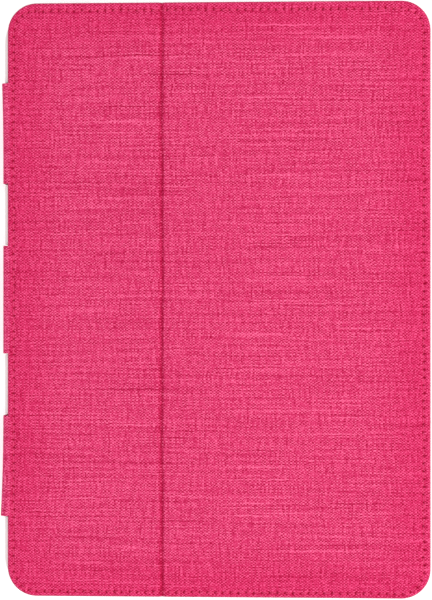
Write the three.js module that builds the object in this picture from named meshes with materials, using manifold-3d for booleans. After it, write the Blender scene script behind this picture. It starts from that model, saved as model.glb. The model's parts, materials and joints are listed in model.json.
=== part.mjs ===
// Folio case for a tablet with a screen of about 9.7 inches, lying closed on its back cover.
// Millimetres. X runs across the case from the spine to the free edge, Y along the spine from
// the foot to the head, and Z up through the layers from the back cover to the front cover.
// The origin is the middle of the footprint, on the surface that the case lies on.

import * as THREE from 'three';
import { mergeVertices } from 'three/addons/utils/BufferGeometryUtils.js';
import Module from 'manifold-3d';

const wasm = await Module();
wasm.setup();

// Tablet that the case holds
const TABLET_WIDTH = 169.5;
const TABLET_LENGTH = 240;
const TABLET_THICKNESS = 7.5;
const TABLET_CORNER = 12;
const TABLET_CLEARANCE = 0.3;

// Covers
const COVER_LEFT = -87.5;
const COVER_WIDTH = 177;
const COVER_LENGTH = 249;
const COVER_CORNER = 12.3;
const NARROW_PANEL_WIDTH = 64.8;
const CREASE_FABRIC_GAP = 0.4;
const CREASE_BOARD_GAP = 4;
const BOARD_INSET = 3.6;
const LINING_INSET = 1.2;

// Thickness of each layer, and the bond line between two of them
const FABRIC = 0.8;
const BOARD = 1.4;
const LINING = 0.5;
const PAD = 0.5;
const BOND = 0.1;

// Tray
const TRAY_FLOOR = 1.2;
const TRAY_WALL = 1.5;
const TRAY_LEFT = -88.9;
const LIP_THICKNESS = 0.8;
const LIP_REACH = 1;
const LIP_LENGTH = 25;
const LIP_CLEARANCE = 0.1;
const TAB_RECESS = 1.1;
const TAB_RECESS_SIDE_GAP = 0.6;
const COVER_CLEARANCE = 0.2;
const PAD_INSET = 1;

// Spine tabs
const TAB_SPACING = 69.8;
const MIDDLE_TAB_LENGTH = 45.3;
const OUTER_TAB_LENGTH = 42.2;
const TAB_OUTER_FACE = -89.5;
const TAB_BOTTOM = 1;
const TAB_HEIGHT = 12.5;
const TAB_FABRIC = 0.6;
const TAB_REINFORCEMENT = 0.4;
const TAB_LINING = 0.4;
const TAB_BOND = 0.05;
const REINFORCEMENT_INSET = 1.5;

// Camera window, near the free corner at the head
const CAMERA_X = 74;
const CAMERA_Y = 111;
const CAMERA_WINDOW_RADIUS = 6.8;
const TRIM_OUTER_RADIUS = 7.8;
const TRIM_HOLE_RADIUS = 8.1;
const TRIM_CHAMFER = 0.4;
const TRIM_RECESS = 0.3;

// Magnets and steel plates, set in pockets through the boards
const MAGNET_WIDTH = 5;
const MAGNET_LENGTH = 20;
const INSERT_THICKNESS = 1.2;
const POCKET_CLEARANCE = 0.3;
const MAGNET_FROM_FREE_EDGE = 9.5;
const MAGNET_PLACES = [-84, -30, 30, 84];
const WAKE_MAGNET_DIAMETER = 9;
const WAKE_MAGNET_FROM_FREE_EDGE = 17;
const WAKE_MAGNET_Y = 62;
const STRIKE_PLATE_WIDTH = 12;
const STRIKE_PLATE_LENGTH = 60;
const STRIKE_PLATE_X = 4;
const STRIKE_PLATE_Y = 62;

const QUARTER_TURN = Math.PI / 2;
const CURVE_SEGMENTS = 10;
const CUT_OVERRUN = 3;

// Places worked out from the dimensions above
const coverRight = COVER_LEFT + COVER_WIDTH;
const halfLength = COVER_LENGTH / 2;
const creaseX = COVER_LEFT + NARROW_PANEL_WIDTH;
const backFabricZ = 0;
const backBoardZ = backFabricZ + FABRIC + BOND;
const backLiningZ = backBoardZ + BOARD + BOND;
const trayZ = backLiningZ + LINING + BOND;
const cavityZ = trayZ + TRAY_FLOOR;
const padZ = cavityZ + BOND;
const tabletZ = padZ + PAD;
const lipZ = tabletZ + TABLET_THICKNESS + LIP_CLEARANCE;
const trayTop = lipZ + LIP_THICKNESS;
const frontLiningZ = trayTop + COVER_CLEARANCE;
const frontBoardZ = frontLiningZ + LINING + BOND;
const frontFabricZ = frontBoardZ + BOARD + BOND;

const recessFace = TRAY_LEFT + TAB_RECESS;
const cavityLeft = recessFace + TRAY_WALL - BOND;
const cavityRight = cavityLeft + TABLET_WIDTH + 2 * TABLET_CLEARANCE;
const cavityHalf = TABLET_LENGTH / 2 + TABLET_CLEARANCE;
const cavityMiddle = (cavityLeft + cavityRight) / 2;
const trayRight = cavityRight + TRAY_WALL;
const trayHalf = cavityHalf + TRAY_WALL;

// Cut-outs in the tray walls. "at" is the middle of the cut-out along its wall.
const WINDOW_BOTTOM = tabletZ + 0.9;
const WINDOW_HEIGHT = 5.6;
const PORT_WINDOW = { at: cavityMiddle, length: 66 };
const POWER_WINDOW = { at: cavityRight - 26, length: 17 };
const JACK_WINDOW = { at: cavityLeft + 23, length: 8 };
const VOLUME_WINDOW = { at: 82, length: 34 };

const TABS = [
  { name: 'upper', y: TAB_SPACING, length: OUTER_TAB_LENGTH },
  { name: 'middle', y: 0, length: MIDDLE_TAB_LENGTH },
  { name: 'lower', y: -TAB_SPACING, length: OUTER_TAB_LENGTH },
];

function material(color, roughness, metalness = 0) {
  return new THREE.MeshStandardMaterial({ color, roughness, metalness });
}

const fabricMaterial = () => material(0xe44575, 0.9);
const boardMaterial = () => material(0x8d8577, 0.95);
const liningMaterial = () => material(0x6f6f76, 0.95);
const trayMaterial = () => material(0xf1f1ee, 0.4);
const trimMaterial = () => material(0x2a2a2d, 0.5);
const magnetMaterial = () => material(0xbfc0c4, 0.3, 1);
const steelMaterial = () => material(0x9b9da1, 0.45, 1);

function namedMesh(name, geometry, meshMaterial) {
  const mesh = new THREE.Mesh(geometry, meshMaterial);
  mesh.name = name;
  return mesh;
}

// Adds a rectangle to a path. The corners on the left and on the right have a radius each.
function addRectangle(path, left, right, bottom, top, leftRadius, rightRadius) {
  const corners = [
    [right - rightRadius, bottom + rightRadius, rightRadius, 3 * QUARTER_TURN],
    [right - rightRadius, top - rightRadius, rightRadius, 0],
    [left + leftRadius, top - leftRadius, leftRadius, QUARTER_TURN],
    [left + leftRadius, bottom + leftRadius, leftRadius, 2 * QUARTER_TURN],
  ];
  corners.forEach(([x, y, radius, start], index) => {
    if (radius > 0) {
      path.absarc(x, y, radius, start, start + QUARTER_TURN, false);
    } else if (index === 0) {
      path.moveTo(x, y);
    } else {
      path.lineTo(x, y);
    }
  });
  return path;
}

function addCircle(path, x, y, radius) {
  return path.absarc(x, y, radius, 0, 4 * QUARTER_TURN, false);
}

function circle(x, y, radius) {
  return addCircle(new THREE.Path(), x, y, radius);
}

// A pocket around an insert of the given size, with clearance all round.
function pocket(x, y, width, length) {
  const halfWidth = width / 2 + POCKET_CLEARANCE;
  const halfPocket = length / 2 + POCKET_CLEARANCE;
  const path = new THREE.Path();
  return addRectangle(path, x - halfWidth, x + halfWidth, y - halfPocket, y + halfPocket, 0, 0);
}

function extrude(outline, depth) {
  return new THREE.ExtrudeGeometry(outline, { depth, bevelEnabled: false, curveSegments: CURVE_SEGMENTS });
}

// A flat layer: an outline with its holes, from height z up.
function layer(outline, z, thickness, holes = []) {
  outline.holes.push(...holes);
  return extrude(outline, thickness).translate(0, 0, z);
}

function box(x0, x1, y0, y1, z0, z1) {
  const geometry = new THREE.BoxGeometry(x1 - x0, y1 - y0, z1 - z0);
  return geometry.translate((x0 + x1) / 2, (y0 + y1) / 2, (z0 + z1) / 2);
}

function solid(geometry) {
  const bare = geometry.clone();
  bare.deleteAttribute('normal');
  bare.deleteAttribute('uv');
  const merged = mergeVertices(bare);
  const vertProperties = new Float32Array(merged.attributes.position.array);
  const triVerts = new Uint32Array(merged.index.array);
  return new wasm.Manifold(new wasm.Mesh({ numProp: 3, vertProperties, triVerts }));
}

function geometryOf(manifoldSolid) {
  const { vertProperties, triVerts } = manifoldSolid.getMesh();
  const shared = new THREE.BufferGeometry();
  shared.setAttribute('position', new THREE.BufferAttribute(vertProperties, 3));
  shared.setIndex(new THREE.BufferAttribute(triVerts, 1));
  const faceted = shared.toNonIndexed();
  faceted.computeVertexNormals();
  return faceted;
}

// Outline of a whole cover, drawn in from its edge.
function coverOutline(inset) {
  const radius = COVER_CORNER - inset;
  const edge = halfLength - inset;
  return addRectangle(new THREE.Shape(), COVER_LEFT + inset, coverRight - inset, -edge, edge, radius, radius);
}

// Outline of the panel between the spine and the crease.
function narrowOutline(inset, creaseGap) {
  const edge = halfLength - inset;
  const right = creaseX - creaseGap / 2;
  return addRectangle(new THREE.Shape(), COVER_LEFT + inset, right, -edge, edge, COVER_CORNER - inset, 0);
}

// Outline of the panel between the crease and the free edge.
function wideOutline(inset, creaseGap) {
  const edge = halfLength - inset;
  const left = creaseX + creaseGap / 2;
  return addRectangle(new THREE.Shape(), left, coverRight - inset, -edge, edge, 0, COVER_CORNER - inset);
}

// Back cover: fabric outside, board, then lining, with the camera window through all three.
function backCover() {
  const trimHole = () => circle(CAMERA_X, CAMERA_Y, TRIM_HOLE_RADIUS);
  const platePocket = (y) => pocket(STRIKE_PLATE_X, y, STRIKE_PLATE_WIDTH, STRIKE_PLATE_LENGTH);
  const boardHoles = [trimHole(), platePocket(STRIKE_PLATE_Y), platePocket(-STRIKE_PLATE_Y)];
  const fabric = layer(coverOutline(0), backFabricZ, FABRIC, [trimHole()]);
  const board = layer(coverOutline(BOARD_INSET), backBoardZ, BOARD, boardHoles);
  const lining = layer(coverOutline(LINING_INSET), backLiningZ, LINING, [trimHole()]);
  const cover = new THREE.Group();
  cover.add(
    namedMesh('back_fabric', fabric, fabricMaterial()),
    namedMesh('back_board', board, boardMaterial()),
    namedMesh('back_lining', lining, liningMaterial()),
    strikePlate('strike_plate_upper', STRIKE_PLATE_Y),
    strikePlate('strike_plate_lower', -STRIKE_PLATE_Y),
    cameraTrim(),
  );
  return cover;
}

// Steel plate that the closure magnets hold when the front cover is folded into a stand.
function strikePlate(name, y) {
  const plate = new THREE.BoxGeometry(STRIKE_PLATE_WIDTH, STRIKE_PLATE_LENGTH, INSERT_THICKNESS);
  const mesh = namedMesh(name, plate, steelMaterial());
  mesh.position.set(STRIKE_PLATE_X, y, backBoardZ + BOARD / 2);
  return mesh;
}

// Ring that finishes the edge of the camera window.
function cameraTrim() {
  const bottom = backFabricZ + TRIM_RECESS;
  const top = trayZ - BOND;
  const profile = [
    new THREE.Vector2(CAMERA_WINDOW_RADIUS, bottom + TRIM_CHAMFER),
    new THREE.Vector2(CAMERA_WINDOW_RADIUS + TRIM_CHAMFER, bottom),
    new THREE.Vector2(TRIM_OUTER_RADIUS, bottom),
    new THREE.Vector2(TRIM_OUTER_RADIUS, top),
    new THREE.Vector2(CAMERA_WINDOW_RADIUS, top),
    new THREE.Vector2(CAMERA_WINDOW_RADIUS, bottom + TRIM_CHAMFER),
  ];
  const ring = new THREE.LatheGeometry(profile, 4 * CURVE_SEGMENTS).rotateX(QUARTER_TURN);
  const mesh = namedMesh('camera_trim', ring, trimMaterial());
  mesh.position.set(CAMERA_X, CAMERA_Y, 0);
  return mesh;
}

// An upright prism with round corners, as long as the tray or its cavity.
function trayPrism(left, right, half, radius, z0, z1) {
  const outline = addRectangle(new THREE.Shape(), left, right, -half, half, radius, radius);
  return solid(layer(outline, z0, z1 - z0));
}

// The space inside the tray walls. The inset draws it in from the walls.
function cavityPrism(inset, z0, z1) {
  const left = cavityLeft + inset;
  const right = cavityRight - inset;
  return trayPrism(left, right, cavityHalf - inset, TABLET_CORNER - inset, z0, z1);
}

// The stretches between the corners, where the tray has no lip.
function lipGaps(z0, z1) {
  const left = cavityLeft + LIP_LENGTH;
  const right = cavityRight - LIP_LENGTH;
  const edge = cavityHalf - LIP_LENGTH;
  const across = solid(box(TRAY_LEFT, trayRight, -edge, edge, z0, z1));
  const along = solid(box(left, right, -trayHalf, trayHalf, z0, z1));
  return across.add(along);
}

// A cut through the tray's wall at the head or the foot.
function endWindow({ at, length }, wallY) {
  const halfWindow = length / 2;
  const halfCut = TRAY_WALL + CUT_OVERRUN;
  const top = WINDOW_BOTTOM + WINDOW_HEIGHT;
  return solid(box(at - halfWindow, at + halfWindow, wallY - halfCut, wallY + halfCut, WINDOW_BOTTOM, top));
}

// A cut through the tray's wall on the side of the free edge.
function sideWindow({ at, length }) {
  const halfWindow = length / 2;
  const outside = trayRight + CUT_OVERRUN;
  const inside = cavityRight - CUT_OVERRUN;
  const top = WINDOW_BOTTOM + WINDOW_HEIGHT;
  return solid(box(inside, outside, at - halfWindow, at + halfWindow, WINDOW_BOTTOM, top));
}

// A recess in the outside of the tray's wall, where a spine tab passes.
function tabRecess({ y, length }) {
  const halfRecess = length / 2 + TAB_RECESS_SIDE_GAP;
  const z0 = trayZ - CUT_OVERRUN;
  const z1 = trayTop + CUT_OVERRUN;
  return solid(box(TRAY_LEFT - CUT_OVERRUN, recessFace, y - halfRecess, y + halfRecess, z0, z1));
}

// Snap-in tray: floor, walls all round and a lip over each corner of the tablet, in one moulding.
function trayShell() {
  const outer = trayPrism(TRAY_LEFT, trayRight, trayHalf, TABLET_CORNER + TRAY_WALL, trayZ, trayTop);
  const aboveTop = trayTop + CUT_OVERRUN;
  const cavity = cavityPrism(0, cavityZ, lipZ);
  const opening = cavityPrism(LIP_REACH, cavityZ, aboveTop);
  const openingBetweenLips = cavityPrism(0, cavityZ, aboveTop).intersect(lipGaps(cavityZ, aboveTop));
  const cameraOutline = addCircle(new THREE.Shape(), CAMERA_X, CAMERA_Y, CAMERA_WINDOW_RADIUS);
  const cameraWindow = solid(layer(cameraOutline, trayZ - CUT_OVERRUN, TRAY_FLOOR + 2 * CUT_OVERRUN));
  const cuts = [
    cavity,
    opening,
    openingBetweenLips,
    cameraWindow,
    endWindow(PORT_WINDOW, -trayHalf),
    endWindow(POWER_WINDOW, trayHalf),
    endWindow(JACK_WINDOW, trayHalf),
    sideWindow(VOLUME_WINDOW),
    ...TABS.map(tabRecess),
  ];
  const shell = cuts.reduce((body, cut) => body.subtract(cut), outer);
  return namedMesh('tray_shell', geometryOf(shell), trayMaterial());
}

// Soft pad that the tablet rests on, on the tray's floor.
function trayPad() {
  const left = cavityLeft + PAD_INSET;
  const right = cavityRight - PAD_INSET;
  const half = cavityHalf - PAD_INSET;
  const radius = TABLET_CORNER - PAD_INSET;
  const outline = addRectangle(new THREE.Shape(), left, right, -half, half, radius, radius);
  const window = circle(CAMERA_X, CAMERA_Y, CAMERA_WINDOW_RADIUS + POCKET_CLEARANCE);
  return namedMesh('tray_pad', layer(outline, padZ, PAD, [window]), liningMaterial());
}

// One spine tab: an upright strip of fabric outside, a reinforcement, and lining inside.
function spineTab({ name, y, length }) {
  const strip = (x0, thickness, inset) => {
    const halfStrip = length / 2 - inset;
    const top = TAB_BOTTOM + TAB_HEIGHT;
    return box(x0, x0 + thickness, y - halfStrip, y + halfStrip, TAB_BOTTOM + inset, top - inset);
  };
  const reinforcementX = TAB_OUTER_FACE + TAB_FABRIC + TAB_BOND;
  const liningX = reinforcementX + TAB_REINFORCEMENT + TAB_BOND;
  const reinforcement = strip(reinforcementX, TAB_REINFORCEMENT, REINFORCEMENT_INSET);
  const tab = new THREE.Group();
  tab.add(
    namedMesh(`${name}_tab_fabric`, strip(TAB_OUTER_FACE, TAB_FABRIC, 0), fabricMaterial()),
    namedMesh(`${name}_tab_reinforcement`, reinforcement, boardMaterial()),
    namedMesh(`${name}_tab_lining`, strip(liningX, TAB_LINING, 0), liningMaterial()),
  );
  return tab;
}

// Panel of the front cover between the spine and the crease.
function narrowPanel() {
  const fabric = layer(narrowOutline(0, CREASE_FABRIC_GAP), frontFabricZ, FABRIC);
  const board = layer(narrowOutline(BOARD_INSET, CREASE_BOARD_GAP), frontBoardZ, BOARD);
  const lining = layer(narrowOutline(LINING_INSET, CREASE_FABRIC_GAP), frontLiningZ, LINING);
  const panel = new THREE.Group();
  panel.add(
    namedMesh('narrow_panel_fabric', fabric, fabricMaterial()),
    namedMesh('narrow_panel_board', board, boardMaterial()),
    namedMesh('narrow_panel_lining', lining, liningMaterial()),
  );
  return panel;
}

// Panel of the front cover between the crease and the free edge, with its magnets.
function widePanel() {
  const closureX = coverRight - MAGNET_FROM_FREE_EDGE;
  const wakeX = coverRight - WAKE_MAGNET_FROM_FREE_EDGE;
  const wakePocket = circle(wakeX, WAKE_MAGNET_Y, WAKE_MAGNET_DIAMETER / 2 + POCKET_CLEARANCE);
  const pockets = MAGNET_PLACES.map((y) => pocket(closureX, y, MAGNET_WIDTH, MAGNET_LENGTH));
  const fabric = layer(wideOutline(0, CREASE_FABRIC_GAP), frontFabricZ, FABRIC);
  const boardOutline = wideOutline(BOARD_INSET, CREASE_BOARD_GAP);
  const board = layer(boardOutline, frontBoardZ, BOARD, [...pockets, wakePocket]);
  const lining = layer(wideOutline(LINING_INSET, CREASE_FABRIC_GAP), frontLiningZ, LINING);
  const panel = new THREE.Group();
  panel.add(
    namedMesh('wide_panel_fabric', fabric, fabricMaterial()),
    namedMesh('wide_panel_board', board, boardMaterial()),
    namedMesh('wide_panel_lining', lining, liningMaterial()),
    wakeMagnet(wakeX),
    ...MAGNET_PLACES.map((y, index) => closureMagnet(index + 1, closureX, y)),
  );
  return panel;
}

function closureMagnet(number, x, y) {
  const magnet = new THREE.BoxGeometry(MAGNET_WIDTH, MAGNET_LENGTH, INSERT_THICKNESS);
  const mesh = namedMesh(`closure_magnet_${number}`, magnet, magnetMaterial());
  mesh.position.set(x, y, frontBoardZ + BOARD / 2);
  return mesh;
}

// Round magnet over the tablet's sensor, which wakes the screen when the cover opens.
function wakeMagnet(x) {
  const radius = WAKE_MAGNET_DIAMETER / 2;
  const disc = new THREE.CylinderGeometry(radius, radius, INSERT_THICKNESS, 3 * CURVE_SEGMENTS);
  const mesh = namedMesh('wake_magnet', disc, magnetMaterial());
  mesh.rotation.x = QUARTER_TURN;
  mesh.position.set(x, WAKE_MAGNET_Y, frontBoardZ + BOARD / 2);
  return mesh;
}

const tabletCase = new THREE.Group();
tabletCase.add(
  backCover(),
  trayShell(),
  trayPad(),
  ...TABS.map(spineTab),
  narrowPanel(),
  widePanel(),
);

export default tabletCase;
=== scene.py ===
"""Looks of a folio tablet case that lies closed, seen from above its front cover.

Every Blender object is in metres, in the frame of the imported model. X runs from the spine to the
free edge, Y along the spine and Z up through the layers. Most lengths in this file are written in
millimetres and multiplied by MM.
"""

import json
import math

import bpy
import numpy as np
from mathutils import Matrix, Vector
from mathutils.geometry import delaunay_2d_cdt


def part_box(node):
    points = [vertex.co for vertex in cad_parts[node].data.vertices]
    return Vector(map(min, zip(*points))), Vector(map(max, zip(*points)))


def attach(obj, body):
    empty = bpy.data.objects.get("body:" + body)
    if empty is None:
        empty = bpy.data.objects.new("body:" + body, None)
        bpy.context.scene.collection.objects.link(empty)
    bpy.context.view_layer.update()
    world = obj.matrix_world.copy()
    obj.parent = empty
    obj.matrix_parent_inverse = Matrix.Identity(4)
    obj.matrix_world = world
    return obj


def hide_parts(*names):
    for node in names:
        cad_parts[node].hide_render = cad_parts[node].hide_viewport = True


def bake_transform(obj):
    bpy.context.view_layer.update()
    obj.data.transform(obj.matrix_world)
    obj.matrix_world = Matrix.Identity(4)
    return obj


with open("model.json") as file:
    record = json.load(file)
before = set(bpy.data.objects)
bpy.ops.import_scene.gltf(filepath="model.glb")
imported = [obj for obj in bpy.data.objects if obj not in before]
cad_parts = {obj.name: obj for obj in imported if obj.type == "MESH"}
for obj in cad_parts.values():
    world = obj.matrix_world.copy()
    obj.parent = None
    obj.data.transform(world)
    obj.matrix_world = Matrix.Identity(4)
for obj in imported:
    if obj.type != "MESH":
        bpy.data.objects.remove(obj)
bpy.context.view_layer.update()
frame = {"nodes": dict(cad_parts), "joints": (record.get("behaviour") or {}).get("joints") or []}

MM = 0.001
SEED = 11

# Sizes from the frame
narrow_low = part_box("narrow_panel_fabric")[0]
wide_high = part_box("wide_panel_fabric")[1]
front_lining_low, front_lining_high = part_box("wide_panel_lining")
back_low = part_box("back_fabric")[0]
back_lining_low, back_lining_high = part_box("back_lining")
pad_low, pad_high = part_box("tray_pad")
trim_low, trim_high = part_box("camera_trim")
pivots = {joint["name"]: Vector(joint["pos_m"]) for joint in frame["joints"]}

COVER_LEFT = narrow_low.x
COVER_RIGHT = wide_high.x
COVER_HALF = wide_high.y
COVER_TOP = wide_high.z
CREASE_X = pivots["crease_hinge"].x

# Cover edge. The cloth turns over it and is folded in as far as BOARD_INSET. Inside that it is one
# layer, FABRIC thick.
CORNER = 12.3 * MM
FABRIC = 0.8 * MM
EDGE_DIP = 0.16 * MM
EDGE_DIP_FROM = 3.2 * MM
EDGE_DIP_TO = 5.0 * MM
EDGE_THICKNESS = 2.6 * MM
EDGE_TURNS = np.linspace(0.03, 0.93, 10) * math.pi
HEM_INSET = 1.15 * MM
HEM_DEPTH = 2.32 * MM
HEM_LIP = 0.01 * MM
BOARD_INSET = 3.5 * MM

# Painted shade on the rim, at the top of the turned edge, which fades out down the side
RIM_PAINTED_SHADE = 0.62
RIM_FROM = 0.15 * MM
RIM_TO = 0.9 * MM
RIM_FADES_FROM = 1.3 * MM
RIM_FADES_TO = 2.2 * MM

# Stitching line, and the rings of points on both sides of it, by their distance towards the middle
SEAM_INSET = 2.79 * MM
SEAM_SHIFT = np.array([0.24, 0.58]) * MM
SEAM_RINGS = np.array([2.0, 1.65, 1.3, 1.0, 0.75, 0.5, 0.3, 0.15, 0.0, -0.15, -0.3, -0.5]) * MM
STITCH_LENGTH = 3.25 * MM
STEPS_PER_STITCH = 10
STEP_CROWDING = 0.55

# Needle holes, and the trough that the thread pulls down between them
HOLE_DEPTH = 0.60 * MM
HOLE_DEPTH_LEAST = 0.8
HOLE_DEPTH_SPREAD = 0.4
HOLE_ALONG = 0.45 * MM
HOLE_ACROSS = 0.37 * MM
HOLE_SLANT = math.radians(24)
HOLE_SLANT_LEAST = 0.4
HOLE_SHIFT = 0.10 * MM
TROUGH_DEPTH = 0.10 * MM
TROUGH_WIDTH = 0.45 * MM
PUCKER = 0.05 * MM
PUCKER_FROM_SEAM = 0.9 * MM
PUCKER_WIDTH = 0.6 * MM

# Thread. It is pinched where it enters a hole, and stands proud of its bed between the holes.
THREAD_RADIUS = 0.20 * MM
THREAD_PINCH = 0.3
THREAD_PROUD = 0.35
THREAD_SINK = 0.55 * MM
THREAD_LEAN = 0.12 * MM
THREAD_ARCH = 0.45
THREAD_FROM = 0.04
THREAD_SPAN = 0.92
THREAD_BED = EDGE_DIP + TROUGH_DEPTH
THREAD_STEPS = 7
THREAD_SIDES = 6
TWIST_PITCH = 0.5 * MM
TWIST_SLANT = 2.0
TWIST_SHADE = 0.72

# Crease between the panels. Its waves are (share, length, phase) of the way it wanders.
CREASE_DEPTH = 0.95 * MM
CREASE_WIDTH = 0.85 * MM
# Painted shade along the bottom of the crease, and how wide it spreads
CREASE_SHADE = 0.30
CREASE_SHADE_WIDTH = 0.95 * MM
CREASE_WANDER = 0.25 * MM
CREASE_WAVES = ((0.6, 19 * MM, 0.8), (0.4, 7.3 * MM, 0.0))
CREASE_SHOULDER = 0.14 * MM
CREASE_SHOULDER_AT = 1.9 * MM
CREASE_SHOULDER_WIDTH = 1.0 * MM
CREASE_FADES_FROM = 0.3 * EDGE_THICKNESS
CREASE_STEPS = np.array([0.2, 0.4, 0.6, 0.8, 1.0, 1.25, 1.5, 1.8, 2.1, 2.5, 3.0, 3.8, 5.0]) * MM

# Linings and the tablet's pad
LINING_INSET = 1.2 * MM
LINING_EDGE = 0.15 * MM
LINING_FOLD = 0.30 * MM
LINING_FOLD_WIDTH = 1.7 * MM
PAD_CORNER = 11 * MM

# Grid of points that fills a cover or pad, and the camera's window in it
FILL_INSET = 6.0 * MM
FILL_MARGIN = 1.2 * MM
RING_GAP = 0.18 * MM
GRID_X = 6 * MM
GRID_Y = 3 * MM
GRID_CLEARANCE = 2 * MM
WINDOW_RINGS = np.array([0.0, 0.25, 0.8, 1.6]) * MM
WINDOW_SIDES = 96
TRIM_CLEARANCE = 0.15 * MM
TRIM_OVERLAP = 0.7 * MM

# Limits of precision: two points that are one, a point on a circle, and a triangle's least area
SAME_POINT = 1e-9
ON_CIRCLE = 1e-6
LEAST_AREA = 1e-12

# Spine tabs. Their paths run across the spine as (x, z) in millimetres, and meet at its middle.
MIDDLE_Z = 8.0
COVER_SIDE_PATH = [
    (-86.4, 16.02), (-87.1, 16.06), (-87.8, 16.0), (-88.4, 15.84), (-88.95, 15.52),
    (-89.35, 15.0), (-89.55, 14.3), (-89.62, 13.2), (-89.6, 11.5), (-89.55, MIDDLE_Z),
]
BACK_SIDE_PATH = [
    (-89.55, MIDDLE_Z), (-89.6, 4.5), (-89.6, 2.9), (-89.5, 1.7), (-89.2, 0.8),
    (-88.6, 0.35), (-88.1, 0.35), (-87.6, 0.05), (-87.0, 0.02), (-86.2, 0.05),
]
COVER_LINING_PATH = [
    (-88.0, MIDDLE_Z), (-88.0, 11.5), (-87.95, 12.9), (-87.6, 13.3), (-87.0, 13.36), (-86.1, 13.38),
]
BACK_LINING_PATH = [(-87.62, 1.5), (-87.75, 2.2), (-87.93, 3.0), (-88.0, 4.2), (-88.0, MIDDLE_Z)]
TAB_CLOTH = 0.55 * MM
TAB_LINING = 0.4 * MM
UPPER_SWELL = 0.55 * MM
LOWER_SWELL = 1.1 * MM
SWELL_SHAPE = 0.7
PATH_CUTS = 3
STRIP_EDGE_STEPS = 5
STRIP_STEP = 1.5 * MM
STRIP_LEAST_STEPS = 8
STRIP_LEAST_FULLNESS = 0.05
CRISP = math.radians(50)

# Small edges of the hard pieces
WELD = 0.001 * MM
BEVEL_SEGMENTS = 2
BEVEL_ANGLE = math.radians(40)
TRAY_EDGE = 0.25 * MM
TRIM_EDGE = 0.1 * MM
METAL_EDGE = 0.15 * MM

# Weave: pitches of the yarns, and how strongly each unevenness shows
WARP_PITCH = 0.775 * MM
WEFT_PITCH = 0.580 * MM
WEAVE_CONTRAST = 0.44
WEFT_CONTRAST = 1.15
WARP_CONTRAST = 0.95
CROSSING_CONTRAST = 0.6
FIBRE_CONTRAST = 1.6
BLOTCH_CONTRAST = 0.06
WEFT_SLUB = 0.32
WARP_SLUB = 0.06
# The number below is painted shade: how much darker the cloth is painted deep in needle holes and
# along the crease
PIT_SHADE_CONTRAST = 1.2
NEIGHBOUR = 0.8
WANDER = 2.1
SLUB_GAIN = 4.0
SLUB_POWER = 3.0
CLEARNESS_LEAST = 0.45
CLEARNESS_MOST = 1.45

# Weave: how fast each unevenness changes, per metre of cloth
WANDER_SCALE = 260.0
WARP_TONE_SCALE = 110.0
WEFT_TONE_SCALE = 24.0
WARP_SLUB_SCALE = 60.0
WEFT_SLUB_SCALE = 14.0
FIBRE_SCALE = 1900.0
BLOTCH_SCALE = 75.0
CLEARNESS_SCALE = 420.0

# Steps in the noise from one yarn to the next, odd enough that no pattern repeats
YARN_STEP = 7.31
CROSSING_STEP = 5.17
SLUB_STEP = 3.77

# Values that most of a noise lies between
NOISE_LOW = 0.3
NOISE_HIGH = 0.7

# Painted shade: a deeper colour in the margin round a cover, in place of the paler reflection on
# its middle
MARGIN_FROM = 4 * MM
MARGIN_TO = 27 * MM
MARGIN_SHADE_TINT = (0.965, 0.66, 0.83)
NO_TINT = (1.0, 1.0, 1.0)

# Colours as linear RGB, and how much of a colour its darker marks keep
PINK_DARK = (0.42, 0.002, 0.043)
PINK = (0.725, 0.033, 0.145)
PINK_BRIGHT = (1.0, 0.155, 0.33)
# The colour below is painted shade for a cover's turned rim
PINK_RIM_SHADE = (0.54, 0.070, 0.155)
PINK_THREAD = (0.93, 0.075, 0.215)
# The tabs' pink below is paler than the cover's: painted sheen where they bend round the spine
TAB_PINK_PAINTED_SHEEN = (0.715, 0.044, 0.165)
COVER_SHEEN = 0.04
TAB_SHEEN = 0.10
GREY_THREAD = (0.27, 0.27, 0.285)
LINING_DARK = (0.105, 0.105, 0.115)
LINING_BRIGHT = (0.24, 0.24, 0.255)
TRAY_WHITE = (0.94, 0.94, 0.93)
TRIM_BLACK = (0.030, 0.030, 0.033)
BOARD_DARK = (0.20, 0.175, 0.145)
BOARD_BRIGHT = (0.36, 0.33, 0.28)
NICKEL = (0.60, 0.60, 0.61)
STEEL = (0.42, 0.42, 0.44)
PLASTIC_SHADE = 0.96
METAL_SHADE = 0.8

# Floor, lights and camera, in metres and watts, with the lens and sensor in millimetres
FLOOR_SIDE = 3.0
FLOOR_HEIGHT = -0.2 * MM
FLOOR_WHITE = (0.93, 0.93, 0.93, 1)
FLOOR_ROUGHNESS = 0.9
FLOOR_GLOW = 0.30
KEY_PLACE = (1.1, -0.15, 0.9)
KEY_SIZE = 0.7
KEY_POWER = 10.3
OVERHEAD_PLACE = (-0.3, -0.25, 1.6)
OVERHEAD_SIZE = 1.6
OVERHEAD_POWER = 12.2
WORLD_STRENGTH = 0.48
CAMERA_DISTANCE = 0.70
CAMERA_TILT = math.radians(2.5)
LENS = 100.6
SENSOR = 36.0
AIM = Vector((0.20 * MM, -0.16 * MM, COVER_TOP))


def smoothstep(low, high, value):
    t = np.clip((value - low) / (high - low), 0, 1)
    return t * t * (3 - 2 * t)


def bell(value, width):
    return np.exp(-((value / width) ** 2))


# ---------------------------------------------------------------------------
# Materials
# ---------------------------------------------------------------------------


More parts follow.
